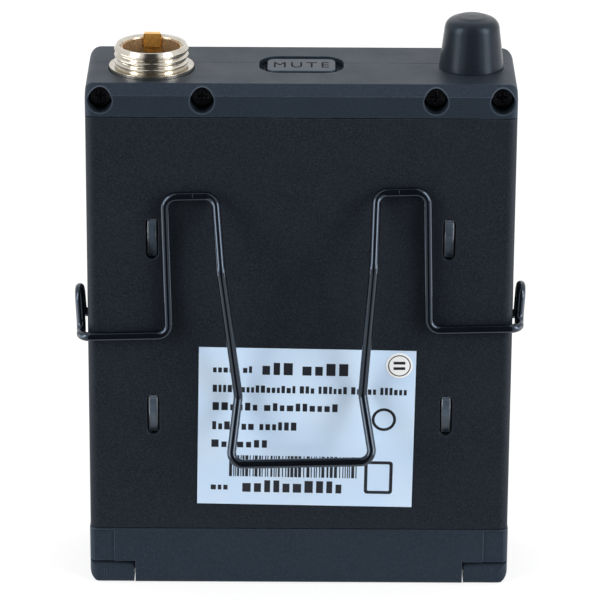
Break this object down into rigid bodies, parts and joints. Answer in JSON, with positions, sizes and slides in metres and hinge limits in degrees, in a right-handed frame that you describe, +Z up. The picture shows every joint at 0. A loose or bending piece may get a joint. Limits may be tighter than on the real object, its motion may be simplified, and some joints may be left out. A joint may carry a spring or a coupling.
{
  "type": "wireless bodypack transmitter",
  "caption": "Belt-worn wireless microphone transmitter with a wire belt clip, stub antenna, threaded microphone socket, mute button, display and hinged battery door.",
  "frame": {"origin": "middle of the flat foot of the case", "axes": "+Z up, from the foot to the head; -Y out of the back, the clip's side; +X to the right seen from behind, towards the antenna"},
  "size_m": [0.0692, 0.0289, 0.0897],
  "materials": {
    "sleeve_paint": "fine satin, almost black blue-grey",
    "end_plastic": "matt slate-blue plastic",
    "button_plastic": "matt dark grey plastic",
    "key_rubber": "matt dark grey rubber",
    "dark_plastic": "matt black plastic",
    "tray_plastic": "gloss black plastic",
    "antenna_plastic": "satin black plastic",
    "white_plastic": "plain white plastic",
    "black_steel": "blackened steel",
    "clip_plating": "bright black plating on spring wire",
    "nickel": "bright nickel plating",
    "brass_plating": "bright brass",
    "copper_wire": "enamelled copper wire",
    "cell_wrap": "printed film over a steel can",
    "contact_steel": "nickel-plated spring steel",
    "tin_plate": "tin-plated steel sheet",
    "board_green": "solder mask",
    "window_glass": "clear smoked plastic window",
    "display_glass": "grey-green liquid crystal",
    "label_film": "printed silver-blue film",
    "foam": "soft grey foam"
  },
  "bodies": {
    "case": {"main_housing": "sleeve_paint", "head_rear_shell": "end_plastic", "head_front_shell": "end_plastic", "head_screws": "black_steel", "connector_shell": "nickel", "connector_liner": "brass_plating", "connector_insert": "dark_plastic", "connector_pins": "brass_plating", "connector_nut": "nickel", "antenna_cap": "antenna_plastic", "antenna_stud": "brass_plating", "antenna_core": "white_plastic", "antenna_coil": "copper_wire", "belt_clip_arm_left": "clip_plating", "belt_clip_arm_right": "clip_plating", "tail_frame": "end_plastic", "battery_tray": "tray_plastic", "aa_cell_left": "cell_wrap", "aa_cell_right": "cell_wrap", "contact_strips": "contact_steel", "contact_link": "contact_steel", "contact_springs": "contact_steel", "door_hinge_pins": "contact_steel", "main_pcb": "board_green", "switch_pcb": "board_green", "board_header": "dark_plastic", "rf_shield_can": "tin_plate", "display_window": "window_glass", "display_module": "display_glass", "mute_switch": "dark_plastic", "key_switches": "dark_plastic", "rating_label": "label_film", "inspection_dot": "label_film"},
    "mute_button_body": {"mute_button": "button_plastic", "mute_plunger": "dark_plastic"},
    "power_key_body": {"power_key": "key_rubber", "power_plunger": "dark_plastic"},
    "set_key_body": {"set_key": "key_rubber", "set_plunger": "dark_plastic"},
    "clip_tongue": {"belt_clip_tongue": "clip_plating"},
    "door": {"battery_door": "end_plastic", "door_foam_pad": "foam"}
  },
  "joints": [
    {"name": "mute_press", "type": "slide", "parent": "case", "child": "mute_button_body", "axis": [0, 0, -1], "range_m": [0, 0.0005], "stiffness_N_per_m": 2000},
    {"name": "power_press", "type": "slide", "parent": "case", "child": "power_key_body", "axis": [0, -1, 0], "range_m": [0, 0.00035], "stiffness_N_per_m": 2000},
    {"name": "set_press", "type": "slide", "parent": "case", "child": "set_key_body", "axis": [0, -1, 0], "range_m": [0, 0.00035], "stiffness_N_per_m": 2000},
    {"name": "clip_flex", "type": "hinge", "parent": "case", "child": "clip_tongue", "pos_m": [-0.00075, -0.0115, 0.06494], "axis": [-0.9997, 0, -0.0262], "range_deg": [0, 12], "stiffness_Nm_per_rad": 2.7},
    {"name": "door_hinge", "type": "hinge", "parent": "case", "child": "door", "pos_m": [0, -0.00875, 0.00175], "axis": [-1, 0, 0], "range_deg": [0, 95]}
  ]
}
